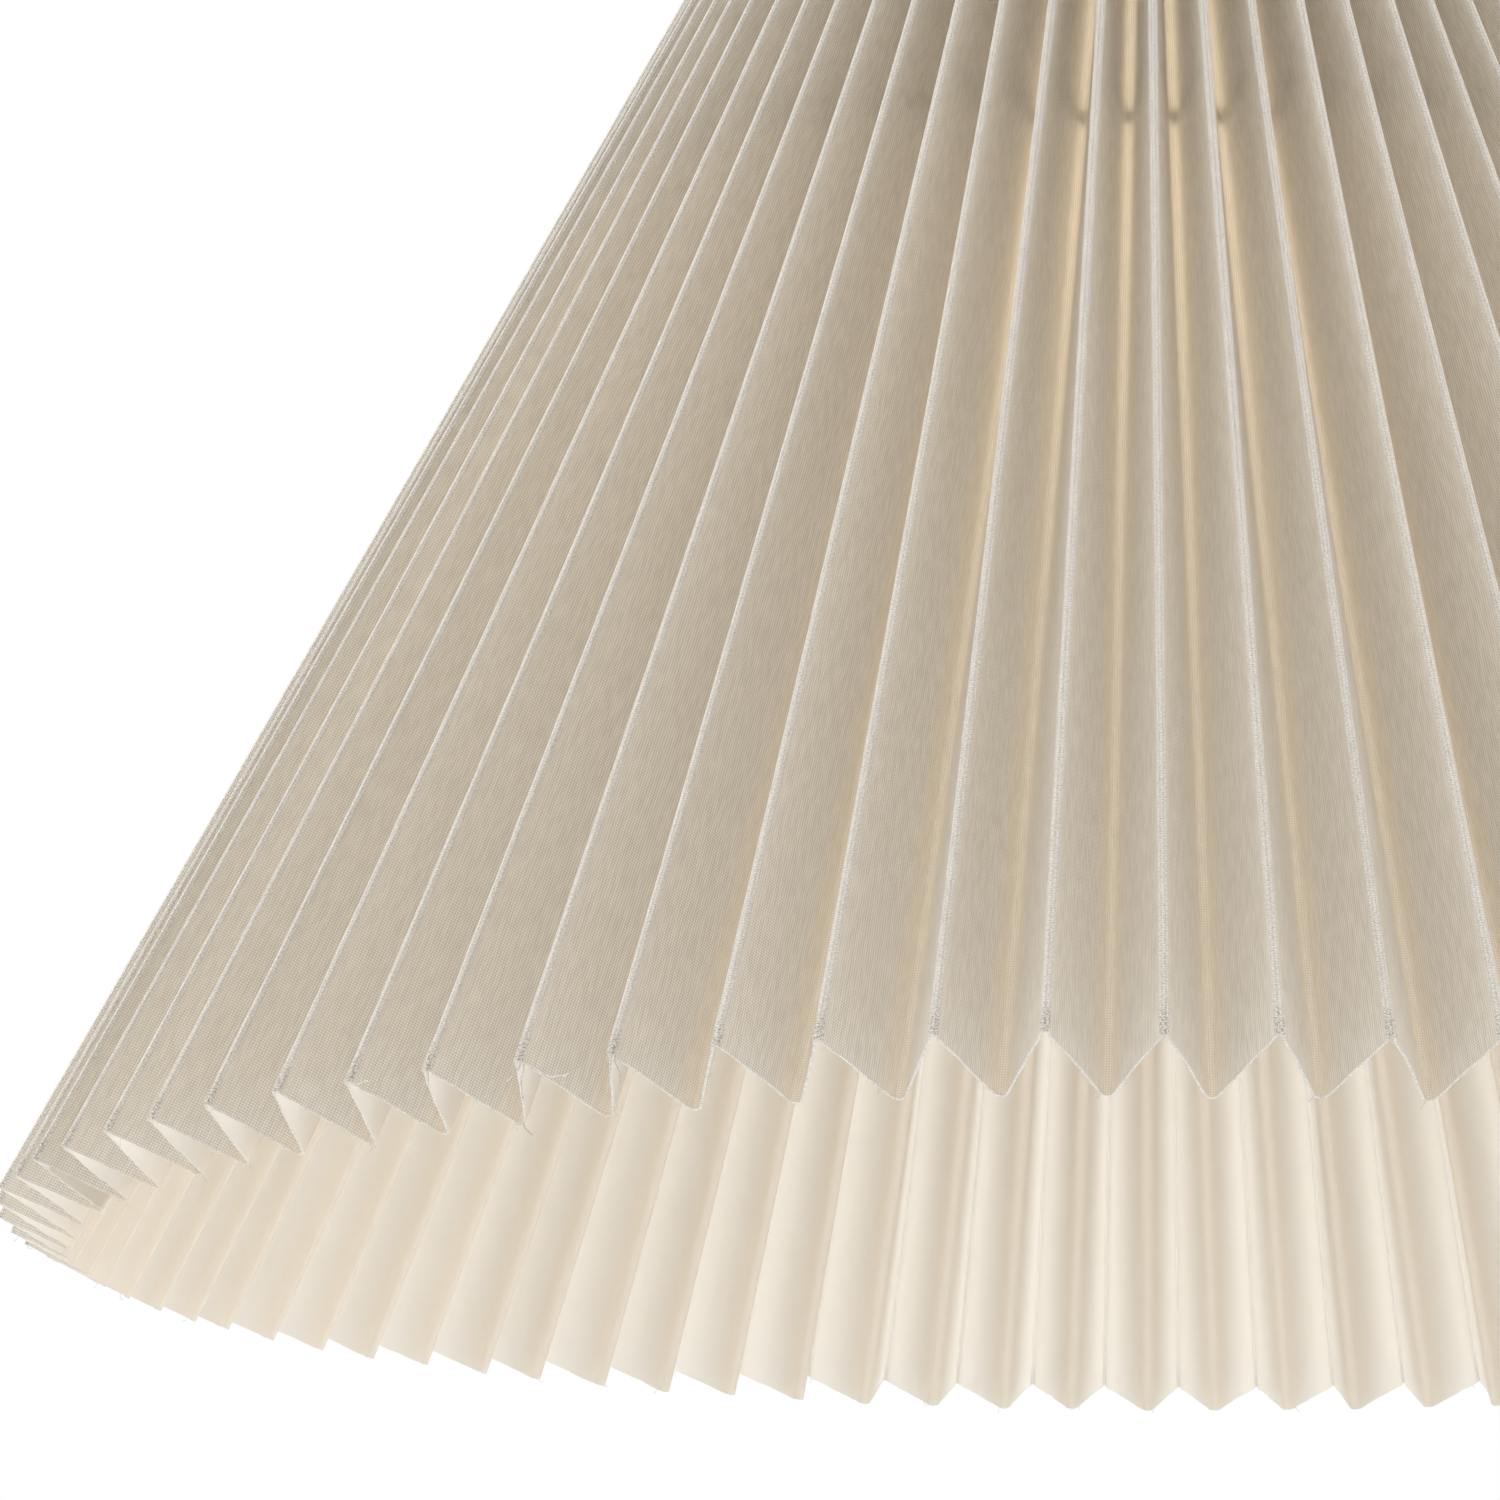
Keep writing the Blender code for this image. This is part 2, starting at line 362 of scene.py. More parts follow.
# %% Pleats: their numbers and their unevenness
PLEATS = 79
FOLDS = 2 * PLEATS
HALF_PITCH = math.pi / PLEATS
FIRST_FOLD = math.radians(0.41)   # turns one pleat nearly straight to the front
SEAM_FOLD = -15           # where the front strip starts, in pleats from the front
CLOTH = 0.00036           # thickness of cloth and film together
OUTER_BEND = 0.00060      # radius of the cloth's middle round an outer fold
INNER_BEND = 0.00115      # the same round an inner fold
SWAY = 0.00042            # how far a fold strays sideways at the rim
BREATH = 0.00030          # how far it strays in or out
TOP_HOLD = 0.75           # the share of both that is gone at the closely packed top
BOW = 0.00028             # how much a face bulges between its folds
PINCH = 0.00040           # how far a pressed fold draws its faces together
PINCH_AT = 0.0012         # where that is strongest, from the fold

chance = random.Random(20)
sways = [chance.gauss(0.0, SWAY) for _ in range(FOLDS)]
breaths = [chance.gauss(0.0, BREATH) for _ in range(FOLDS)]
bows = [chance.gauss(0.0, BOW) for _ in range(FOLDS)]
pinches = [PINCH * (0.25 + 0.75 * chance.random()) for _ in range(FOLDS)]
print(f"{PLEATS} pleats, folds astray by up to {max(map(abs, sways)) * 1000:.1f} mm")

# %% Places of the folds
def is_outer(fold):
    """Odd folds stand out, even ones point to the axis."""
    return fold % 2 == 1


def square_out(turn):
    """Unit vector square to a fold, pointing out of the shade and up."""
    return Vector((math.sin(turn) * math.cos(LEAN),
                   -math.cos(turn) * math.cos(LEAN), math.sin(LEAN)))


def up_the_fold(turn):
    """Unit vector along a fold, from the rim to the top."""
    return Vector((-math.sin(turn) * math.sin(LEAN),
                   math.cos(turn) * math.sin(LEAN), math.cos(LEAN)))


def outer_tip(along):
    """Radius and height of the cloth's middle at the tip of an outer fold."""
    return (RIM_RADIUS - CLOTH / 2 - along * math.sin(LEAN), RIM_HEIGHT + along * math.cos(LEAN))


def bend_centre(fold, along, depth, uneven=True):
    """Centre, radius and direction of the bend at a fold."""
    outer = is_outer(fold)
    radius, height = outer_tip(along)
    bend = OUTER_BEND if outer else INNER_BEND
    back = OUTER_BEND if outer else depth - INNER_BEND
    turn = FIRST_FOLD + (2 * SEAM_FOLD + 1 + fold) * HALF_PITCH
    if uneven:
        free = 1 - TOP_HOLD * along / FOLD_LENGTH
        turn += sways[fold % FOLDS] * free / radius
        back += breaths[fold % FOLDS] * free
    out = square_out(turn)
    tip = Vector((radius * math.sin(turn), -radius * math.cos(turn), height))
    return tip - out * back, bend, out, turn

# %% A face between two bends
class Face:
    """The cloth from one fold's tip to the next, at one height: a bend, a straight, a bend."""

    def __init__(self, fold, along, depth, uneven=True):
        first = bend_centre(fold, along, depth, uneven)
        second = bend_centre(fold + 1, along, depth, uneven)
        self.centres = (first[0], second[0])
        self.bends = (first[1], second[1])
        self.outs = (first[2], second[2])
        self.sides = (1, -1) if is_outer(fold) else (-1, 1)
        between = self.centres[1] - self.centres[0]
        reach = between.length
        along_face = between / reach
        square = along_face.cross(up_the_fold((first[3] + second[3]) / 2)).normalized()
        if square.dot(self.outs[0]) < 0:
            square = -square
        tilt = math.asin(sum(self.bends) / reach)
        self.normal = along_face * (math.sin(tilt) * self.sides[0]) + square * math.cos(tilt)
        self.arcs = tuple(bend * math.acos(out.dot(self.normal))
                          for bend, out in zip(self.bends, self.outs))
        self.touch = tuple(centre + self.normal * (side * bend) for centre, side, bend
                           in zip(self.centres, self.sides, self.bends))
        self.straight = (self.touch[1] - self.touch[0]).length
        self.path = sum(self.arcs) + self.straight

    def at(self, flat, bow=0.0, pinch=0.0):
        """Point and outward normal at a distance from the first fold on the flat strip."""
        walked = flat / FACE_WIDTH * self.path
        for end, left in ((0, walked), (1, self.path - walked)):
            if left < self.arcs[end]:
                share = left / self.arcs[end]
                facing = self.outs[end].slerp(self.normal, share)
                return self.centres[end] + facing * (self.sides[end] * self.bends[end]), facing
        share = (walked - self.arcs[0]) / self.straight
        point = self.touch[0].lerp(self.touch[1], share)
        from_outer = (share if self.sides[0] > 0 else 1 - share) * self.straight / PINCH_AT
        drawn = pinch * from_outer * math.exp(1 - from_outer)
        return point + self.normal * (bow * math.sin(math.pi * share) - drawn), self.normal


# %% Depth of the pleats at every height
SHALLOWEST = 0.6          # of the face's width, where the search starts
HALVINGS = 30


@functools.lru_cache(maxsize=None)
def pleat_depth(along):
    """Depth at which a face of the right flat width just fits between its folds."""
    low, high = FACE_WIDTH * SHALLOWEST, FACE_WIDTH
    for _ in range(HALVINGS):
        depth = (low + high) / 2
        if Face(1, along, depth, uneven=False).path < FACE_WIDTH:
            low = depth
        else:
            high = depth
    return low


print(f"pleats are {pleat_depth(0.0) * 1000:.1f} mm deep at the rim and "
      f"{pleat_depth(FOLD_LENGTH) * 1000:.1f} mm at the top")

# %% [markdown]
# ## The two strips
# A roll of shade cloth is 1.4 m wide, and the cover takes 2.7 m, so it is made of two strips of 80
# faces.  Each starts as a flat grid of the cut's own size, keeps that as its map, and is then
# folded by moving every point to its place on its face.  The grid's columns stand close together
# at the folds, where the cloth bends, and far apart on the faces.
# At both seams a face of the back strip lies inside the front strip's last face, glued to it.

# %% Cut a strip
FACES = PLEATS + 1        # of each strip, with the one that overlaps
ROWS = 20
FOLD_STEPS = (0.0, 0.00018, 0.00036, 0.0006, 0.00095, 0.0016, 0.0032, 0.0058)
FACE_STEPS = (*FOLD_STEPS, FACE_WIDTH / 2,
              *(FACE_WIDTH - step for step in reversed(FOLD_STEPS[1:])))


def flat_cut(first_fold):
    """The strip as it is cut: a grid with columns gathered at the score lines."""
    columns = FACES * len(FACE_STEPS)
    bm = bmesh.new()
    bmesh.ops.create_grid(bm, x_segments=columns, y_segments=ROWS, size=0.5)
    bmesh.ops.translate(bm, vec=(0.5, 0.5, 0.0), verts=bm.verts)
    sheet = bm.loops.layers.uv.new(UV_NAME)
    for vert in bm.verts:
        face, step = divmod(round(vert.co.x * columns), len(FACE_STEPS))
        vert.co.x = face * FACE_WIDTH + FACE_STEPS[step]
        vert.co.y *= FOLD_LENGTH
    for face in bm.faces:
        for loop in face.loops:
            loop[sheet].uv = (loop.vert.co.x + first_fold * FACE_WIDTH, loop.vert.co.y)
    return bm


# %% Fold a strip
GLUED = CLOTH + 0.0001    # from the middle of one layer to the middle of the next
EDGE_TRIM = 0.0018        # the front strip's end faces stop this far from the next fold
FLAP_TRIM = 0.0036        # the back strip's flaps stop this far from the next fold
RAGGED = 0.00010          # how far the scissors strayed
TINY = 1e-6
BULGE_FROM = 0.15         # the bulge's sine wave starts here at the rim, in half turns
BULGE_RUN = 0.70          # and runs this far by the top
PINCH_LOST = 0.5          # share of the pinch that is gone at the top


def on_its_face(shift, end, flaps_inside):
    """A column's distance from its face's first fold, after an end face is trimmed."""
    if end is None:
        return shift
    trim = FLAP_TRIM if flaps_inside else EDGE_TRIM
    far = shift if end == 0 else FACE_WIDTH - shift
    far = trim + far * (1 - trim / FACE_WIDTH)
    return far if end == 0 else FACE_WIDTH - far


def fold_strip(bm, first_fold, flaps_inside):
    """Move every point of the flat cut to its place on the folded strip."""
    ragged = random.Random(first_fold)
    faces = {}
    for vert in bm.verts:
        number = min(int(vert.co.x / FACE_WIDTH + 1e-4), FACES - 1)
        along = vert.co.y
        height = along / FOLD_LENGTH
        fold = first_fold + number
        end = {0: 0, FACES - 1: 1}.get(number)
        flat = on_its_face(vert.co.x - number * FACE_WIDTH, end, flaps_inside)
        key = (number, round(along, 6))
        if key not in faces:
            faces[key] = Face(fold, along, pleat_depth(round(along, 6)))
        bow = bows[fold % FOLDS] * math.sin(math.pi * (BULGE_FROM + BULGE_RUN * height))
        pinch = pinches[fold % FOLDS] * (1 - PINCH_LOST * height)
        point, facing = faces[key].at(flat, bow, pinch)
        if flaps_inside and end is not None:
            to_fold = FACE_WIDTH - flat if end == 0 else flat
            point = point - facing * (GLUED * min(1.0, to_fold / INNER_BEND))
        if along < TINY or along > FOLD_LENGTH - TINY:
            up = up_the_fold(math.atan2(point.x, -point.y))
            point = point + up * ragged.uniform(-RAGGED, RAGGED)
        vert.co = point

# %% Thicken a strip
SHARP = math.radians(55)  # edges sharper than this stay crisp


def make_strip(name, first_fold, flaps_inside):
    """One strip of the cover as a closed sheet with three finishes."""
    bm = flat_cut(first_fold)
    fold_strip(bm, first_fold, flaps_inside)
    raw = bpy.data.meshes.new(name)
    bm.to_mesh(raw)
    bm.free()
    sheet = bpy.data.objects.new(name + "_raw", raw)
    bpy.context.scene.collection.objects.link(sheet)
    for finish in CLOTH_FINISHES:
        raw.materials.append(finish)
    thicken = sheet.modifiers.new("cloth and film", "SOLIDIFY")
    thicken.thickness = CLOTH
    thicken.offset = 0.0
    thicken.material_offset = 1
    thicken.material_offset_rim = 2
    ready = sheet.evaluated_get(bpy.context.evaluated_depsgraph_get())
    made = bpy.data.meshes.new_from_object(ready)
    bpy.data.objects.remove(sheet)
    made.name = name
    made.shade_smooth()
    made.set_sharp_from_angle(angle=SHARP)
    strip = bpy.data.objects.new(name, made)
    bpy.context.scene.collection.objects.link(strip)
    print(name, len(made.polygons), "faces")
    return strip


front_strip = make_strip("pleated_cloth_front", 0, False)
back_strip = make_strip("pleated_cloth_back", PLEATS, True)

# %% [markdown]
# ## The wire frame
# The frame is out of sight from the front and carries everything: a 3 mm wire ring behind the inner
# folds, three arms spot-welded to it, and the flat ring that the lamp holder clamps.  It is welded
# first and powder-coated afterwards, so one white finish runs over wire and welds alike.
# The ring and the fitter are outlines spun round the axis; the arms are bevelled curves.

# %% A helper for smooth meshes, and the powder coat
CREASE = math.radians(50)


def finish_object(name, mesh, material):
    """Link a mesh that has its place in its points."""
    mesh.materials.append(material)
    mesh.shade_smooth()
    mesh.set_sharp_from_angle(angle=CREASE)
    made = bpy.data.objects.new(name, mesh)
    bpy.context.scene.collection.objects.link(made)
    return made


def powder_coat():
    """Satin white with the faint orange peel of baked powder."""
    finish = bpy.data.materials.new("white_powder_coat")
    tree = Tree(finish)
    place = tree.node("ShaderNodeTexCoord", output=3)
    peel = tree.noise(place, 900.0, 2.0)
    dust = tree.noise(place, 60.0, 3.0)
    base = tree.mix(dust.ramp(0.45, 0.8) * 0.4, rgb(0.84, 0.84, 0.82), rgb(0.76, 0.75, 0.72))
    coat = tree.node("ShaderNodeBsdfPrincipled", {}, {
        "Base Color": base, "Roughness": 0.3 + dust * 0.2, "Normal": tree.bump(peel, 0.00004)})
    tree.output("ShaderNodeOutputMaterial", coat)
    return finish


COAT = powder_coat()
print("coat:", COAT.name)

# %% Sizes of the frame
WIRE = 0.0030             # diameter of the ring's and the arms' wire
ring_low, ring_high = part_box("carrier_ring")
RING_HEIGHT = (ring_low[2] + ring_high[2]) / 2
RING_RADIUS = ring_high[0] - WIRE / 2 * math.cos(math.pi / 8)
fitter_low, fitter_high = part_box("fitter_ring")
FITTER_RADIUS = fitter_high[0]
FITTER_TOP = fitter_high[2]
FITTER_THICK = 0.0016
HOLE_RADIUS = 0.0210
BROKEN_CORNER = 0.0004
print(f"ring {2000 * RING_RADIUS:.0f} mm wide, {1000 * RING_HEIGHT:.0f} mm up")

# %% Carrier ring and fitter ring
def spun(name, bm, steps, material):
    """Spin a closed outline in the XZ plane a full turn about Z."""
    bmesh.ops.spin(bm, geom=bm.verts[:] + bm.edges[:], cent=(0, 0, 0), axis=(0, 0, 1),
                   angle=2 * math.pi, steps=steps, use_merge=True)
    bmesh.ops.remove_doubles(bm, verts=bm.verts, dist=TINY)
    bmesh.ops.recalc_face_normals(bm, faces=bm.faces)
    mesh = bpy.data.meshes.new(name)
    bm.to_mesh(mesh)
    bm.free()
    return finish_object(name, mesh, material)


def wire_ring():
    """The carrier ring: a circle spun into a torus."""
    bm = bmesh.new()
    bmesh.ops.create_circle(bm, segments=20, radius=WIRE / 2)
    bmesh.ops.rotate(bm, verts=bm.verts, cent=(0, 0, 0),
                     matrix=Matrix.Rotation(math.pi / 2, 3, "X"))
    bmesh.ops.translate(bm, verts=bm.verts, vec=(RING_RADIUS, 0, RING_HEIGHT))
    return spun("ring_wire", bm, 192, COAT)


def holder_ring():
    """The fitter: a flat flange with a lip turned down round the hole, its corners broken."""
    lip = fitter_low[2]
    under = FITTER_TOP - FITTER_THICK
    collar = HOLE_RADIUS + FITTER_THICK
    outline = [(HOLE_RADIUS, lip), (collar, lip), (collar, under),
               (FITTER_RADIUS, under), (FITTER_RADIUS, FITTER_TOP), (HOLE_RADIUS, FITTER_TOP)]
    bm = bmesh.new()
    corners = [bm.verts.new((radius, 0.0, height)) for radius, height in outline]
    for pair in zip(corners, corners[1:] + corners[:1]):
        bm.edges.new(pair)
    bmesh.ops.bevel(bm, geom=corners, offset=BROKEN_CORNER, offset_type="OFFSET",
                    affect="VERTICES", segments=3, profile=0.5, material=-1)
    return spun("fitter_plate", bm, 144, COAT)


ring_piece = wire_ring()
fitter_piece = holder_ring()

# %% [markdown]
# The arms are bent from the same wire.  A curve is the natural way to bend wire in Blender: a few
# points give its middle line, and the bevel gives its thickness.  The step down to the fitter is
# half a cosine wave, which is level at both ends, like wire pressed in a die.
# A weld is a small puddle of metal, so each is a squashed ball half sunk in the two parts.

# %% Spider arms
ARMS = 3
ARM_TURN = math.radians(90.0)
FLANGE_LAP = 0.004        # how far an arm runs under the flange
WELD_BITE = 0.0006        # how far its other end is sunk in the ring
FIRST_GAP = 0.0003        # between the ring and the straight part of the arm
STEP_FROM, STEP_RUN = 0.15, 0.60   # where the step starts, and its length, as shares of the arm
STEP_POINTS = 24


def arm_curve(number):
    """One arm: level at both ends, with a soft step down to the fitter's flange."""
    node = f"spider_arm_{number}"
    low = min(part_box(node)[0][2] + WIRE / 2, RING_HEIGHT)
    start = FITTER_RADIUS - FLANGE_LAP
    end = RING_RADIUS - WIRE / 2 + WELD_BITE
    free = RING_RADIUS - WIRE / 2 - FIRST_GAP - FITTER_RADIUS
    curve = bpy.data.curves.new(f"arm_wire_{number}", "CURVE")
    curve.dimensions = "3D"
    curve.bevel_depth = WIRE / 2
    curve.bevel_resolution = 4
    curve.use_fill_caps = True
    turn = ARM_TURN + (number - 1) * 2 * math.pi / ARMS
    places = [(start, low)]
    for step in range(STEP_POINTS + 1):
        share = step / STEP_POINTS
        rise = (1 - math.cos(math.pi * share)) / 2
        places.append((FITTER_RADIUS + free * (STEP_FROM + STEP_RUN * share),
                       low + (RING_HEIGHT - low) * rise))
    places.append((end, RING_HEIGHT))
    spline = curve.splines.new("POLY")
    spline.points.add(len(places) - 1)
    for target, (radius, height) in zip(spline.points, places):
        target.co = (radius * math.cos(turn), radius * math.sin(turn), height, 1.0)
    shape = bpy.data.objects.new("arm_shape", curve)
    bpy.context.scene.collection.objects.link(shape)
    ready = shape.evaluated_get(bpy.context.evaluated_depsgraph_get())
    mesh = bpy.data.meshes.new_from_object(ready)
    bpy.data.objects.remove(shape)
    return finish_object(f"arm_wire_{number}", mesh, COAT)


arm_pieces = [arm_curve(number) for number in range(1, ARMS + 1)]
print("frame pieces:", ring_piece.name, fitter_piece.name, [arm.name for arm in arm_pieces])

# %% Welds
RING_WELD = (0.0020, 0.0021, 0.0014)     # half sizes: outward, sideways, upward
FLANGE_WELD = (0.0030, 0.0022, 0.0011)
FLANGE_WELD_IN = 0.0015   # from the flange's edge
FLANGE_WELD_SUNK = 0.0003


def weld_beads():
    """The small flat puddles of metal where the arms meet the ring and the flange."""
    bm = bmesh.new()
    for number in range(ARMS):
        turn = ARM_TURN + number * 2 * math.pi / ARMS
        spots = [(RING_RADIUS - WIRE * 0.55, RING_HEIGHT, RING_WELD),
                 (FITTER_RADIUS - FLANGE_WELD_IN,
                  FITTER_TOP - FITTER_THICK - FLANGE_WELD_SUNK, FLANGE_WELD)]
        for radius, height, sizes in spots:
            made = bmesh.ops.create_icosphere(bm, subdivisions=3, radius=1.0)["verts"]
            bmesh.ops.scale(bm, verts=made, vec=sizes)
            bmesh.ops.translate(bm, verts=made, vec=(radius, 0, height))
            bmesh.ops.rotate(bm, verts=made, cent=(0, 0, 0), matrix=Matrix.Rotation(turn, 3, "Z"))
    mesh = bpy.data.meshes.new("weld_beads")
    bm.to_mesh(mesh)
    bm.free()
    return finish_object("weld_beads", mesh, COAT)


weld_piece = weld_beads()
print("welds:", 2 * ARMS)

# %% [markdown]
# ## Thread work
# The inner folds are laced to the ring with one cotton thread: over the wire, through the fold,
# down its outside, back through and on to the next fold.  From outside each stitch is a short
# upright dash at the bottom of a valley.
# Threads are curves with a round bevel.  A curve keeps its length when it is bent, and its few
# points are easy to place; a mesh tube would need a ring of points at every bend.

# %% Cotton thread
def cotton():
    """Ivory cotton thread."""
    finish = bpy.data.materials.new("cotton_thread")
    tree = Tree(finish)
    place = tree.node("ShaderNodeTexCoord", output=3)
    twist = tree.noise(place, 2600.0, 2.0)
    base = tree.mix(twist.ramp(0.35, 0.65), rgb(0.62, 0.57, 0.48), rgb(0.82, 0.78, 0.70))
    tree.output("ShaderNodeOutputMaterial", tree.node("ShaderNodeBsdfPrincipled", {}, {
        "Base Color": base, "Roughness": 0.9, "Normal": tree.bump(twist, 0.00008)}))
    return finish


COTTON = cotton()


def thread_object(name, runs, thickness, finish, sides):
    """One curve object with a round bevel for a number of thread runs."""
    curve = bpy.data.curves.new(name, "CURVE")
    curve.dimensions = "3D"
    curve.bevel_depth = thickness / 2
    curve.bevel_resolution = sides
    curve.use_fill_caps = True
    for points in runs:
        spline = curve.splines.new("POLY")
        spline.points.add(len(points) - 1)
        for target, point in zip(spline.points, points):
            target.co = (*point, 1.0)
    curve.materials.append(finish)
    made = bpy.data.objects.new(name, curve)
    bpy.context.scene.collection.objects.link(made)
    return made


print("thread:", COTTON.name)

# %% Lacing
LACE = 0.0006             # diameter
LACE_STEPS = 12           # points in one turn round the wire
LACE_SLACK = 0.0004       # how loosely it lies round the fold
LACE_WALK = 0.9           # share of the way to the next fold that it walks along the wire


def lacing():
    """The whipping stitch round the ring, one turn for each inner fold."""
    points = []
    half = LACE_STEPS // 2
    for pleat in range(PLEATS):
        fold_turn = FIRST_FOLD + (2 * SEAM_FOLD + 1 + 2 * pleat) * HALF_PITCH
        for step in range(LACE_STEPS):
            angle = math.pi * (1 - step / half)
            outside = math.cos(angle) > 0
            reach = WIRE / 2 + LACE / 2 + (CLOTH + LACE_SLACK if outside else 0.0)
            on_inner_side = abs(step - half) > half / 2
            walk = LACE_WALK * (step - half) / half if on_inner_side else 0.0
            turn = fold_turn + HALF_PITCH * walk
            sideways = reach * math.cos(angle)
            upward = (WIRE / 2 + LACE * 0.6) * math.sin(angle)
            radius = RING_RADIUS + sideways * math.cos(LEAN) - upward * math.sin(LEAN)
            height = RING_HEIGHT + sideways * math.sin(LEAN) + upward * math.cos(LEAN)
            points.append((radius * math.sin(turn), -radius * math.cos(turn), height))
    return thread_object("lacing_thread", [points + points[:1]], LACE, COTTON, 3)


lace_piece = lacing()
print("lacing:", PLEATS, "stitches")

# %% [markdown]
# The cut edges have a little fray: a few short fibres, most of them at the folds, where the cloth
# is strained, and here and there a long thread that has come out of the weave.
# Each one starts at the edge and changes its heading a little at every step, as a thread does that
# has lost its neighbours.  The long ones have a start and a heading each; chance does the rest.

# %% Fray along the cut edges
FIBRE = 0.00010           # diameter of a short fibre
LOOSE_THREAD = 0.00022    # diameter of a long one
FIBRE_STEP = 0.0005
SHORT_CURL, LONG_CURL = 0.45, 0.14
SHORT_LENGTHS = (0.0005, 0.0007, 0.0010, 0.0016)
# Fold, millimetres from it, heading to the right, out and down, and length in metres.
LOOSE = (
    (17, 0.3, 0.75, 0.5, 0.45, 0.0145),
    (17, 0.6, -0.1, 0.3, 1.0, 0.0040),
    (17, 1.2, 0.2, 0.2, 1.0, 0.0055),
    (19, 0.4, 0.1, 0.3, 1.0, 0.0060),
    (19, 1.0, -0.2, 0.4, 0.9, 0.0045),
    (16, 0.3, 0.2, 0.6, 0.7, 0.0030),
    (13, 0.5, 0.9, 0.5, 0.3, 0.0050),
    (15, 0.4, 0.3, 0.7, 0.6, 0.0030),
)


def wander(rng, start, heading, length, curl):
    """A loose fibre: it keeps turning by small chances as it goes."""
    points = [start]
    for _ in range(max(3, int(length / FIBRE_STEP))):
        heading = (heading + Vector([rng.gauss(0.0, curl) for _ in range(3)])).normalized()
        points.append(points[-1] + heading * FIBRE_STEP)
    return points


def fray(name, first_fold, along, most, seed):
    """Short fibres that stand out of one cut edge of a strip, most of them at the folds."""
    rng = random.Random(seed)
    runs = []
    end_way = -1 if along < FOLD_LENGTH / 2 else 1
    for number in range(1, FACES - 1):
        face = Face(first_fold + number, along, pleat_depth(round(along, 6)))
        for _ in range(rng.randint(0, most)):
            near = 0.012 + 0.2 * rng.random() ** 2
            point, facing = face.at(FACE_WIDTH * (near if rng.random() < 0.5 else 1 - near))
            away = up_the_fold(math.atan2(point.x, -point.y)) * end_way
            heading = (away * 0.6 + facing * rng.uniform(-0.7, 0.7)).normalized()
            runs.append(wander(rng, point, heading, rng.choice(SHORT_LENGTHS), SHORT_CURL))
    return thread_object(name, runs, FIBRE, CLOTH_FINISHES[2], 1)


def loose_threads(seed):
    """Longer threads that have come out of the front rim."""
    rng = random.Random(seed)
    runs = []
    for fold, offset, sideways, outward, down, length in LOOSE:
        point, _ = Face(fold, 0.0, pleat_depth(0.0)).at(offset / 1000)
        turn = math.atan2(point.x, -point.y)
        heading = (Vector((math.cos(turn), math.sin(turn), 0.0)) * sideways
                   + square_out(turn) * outward * 0.4
                   - Vector((0.0, 0.0, down))).normalized()
        runs.append(wander(rng, point, heading, length, LONG_CURL))
    return thread_object("loose_threads", runs, LOOSE_THREAD, CLOTH_FINISHES[2], 2)


fray_front = fray("fray_front", 0, 0.0, 2, 3)
fray_back = fray("fray_back", PLEATS, 0.0, 1, 4)
fray_front_top = fray("fray_front_top", 0, FOLD_LENGTH, 1, 5)
fray_back_top = fray("fray_back_top", PLEATS, FOLD_LENGTH, 1, 6)
loose = loose_threads(7)
print("short fibres in front:", len(fray_front.data.splines), "long threads:", len(LOOSE))

# %% [markdown]
# ## What each piece stands for
# Nothing on a lamp shade moves, so every piece rides on the one body.  The folded strips replace
# the plain solids of the cover.

# %% Ride and replace
for piece, node in ((front_strip, "pleated_strip_front"), (back_strip, "pleated_strip_back")):
    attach(piece, "root")
    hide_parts(node)
for piece in (fray_front, fray_back, fray_front_top, fray_back_top, loose, lace_piece):
    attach(piece, "root")

for piece, node in ((ring_piece, "carrier_ring"), (fitter_piece, "fitter_ring"),
                    (arm_pieces[0], "spider_arm_1"), (arm_pieces[1], "spider_arm_2"),
                    (arm_pieces[2], "spider_arm_3")):
    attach(piece, "root")
    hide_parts(node)
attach(weld_piece, "root")
print("dressed nodes:", len(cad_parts))

# %% [markdown]
# ## The room
# The shade hangs in a white room, well above a pale floor that throws some light back up.

# %% Floor
FLOOR_HEIGHT = -0.60
FLOOR_RADIUS = 6.0


def pale_floor():
    """A wide pale floor below the shade."""
    bm = bmesh.new()
    bmesh.ops.create_circle(bm, cap_ends=True, segments=96, radius=FLOOR_RADIUS)
    bmesh.ops.translate(bm, verts=bm.verts, vec=(0, 0, FLOOR_HEIGHT))
    mesh = bpy.data.meshes.new("floor")
    bm.to_mesh(mesh)
    bm.free()
    finish = bpy.data.materials.new("pale_floor")
    tree = Tree(finish)
    tree.output("ShaderNodeOutputMaterial", tree.node(
        "ShaderNodeBsdfPrincipled", {}, {"Base Color": rgb(0.45, 0.45, 0.45), "Roughness": 0.8}))
    mesh.materials.append(finish)
    floor = bpy.data.objects.new("floor", mesh)
    bpy.context.scene.collection.objects.link(floor)
    return floor


pale_floor()
print("floor at", FLOOR_HEIGHT)

# %% [markdown]
# The light is the room itself: bright behind the shade, where it shines into the hollow and through
# the cloth, and dim behind the camera, which leaves the front pleats in a warm half shade.  The
# world's shader knows from a ray's direction how bright the room is there, and shows the camera
# plain white.  Two lamps help: a disc below the mouth for the far wall's pleats, and a weak glow
# where a bulb would be, for the narrow top that daylight hardly reaches.

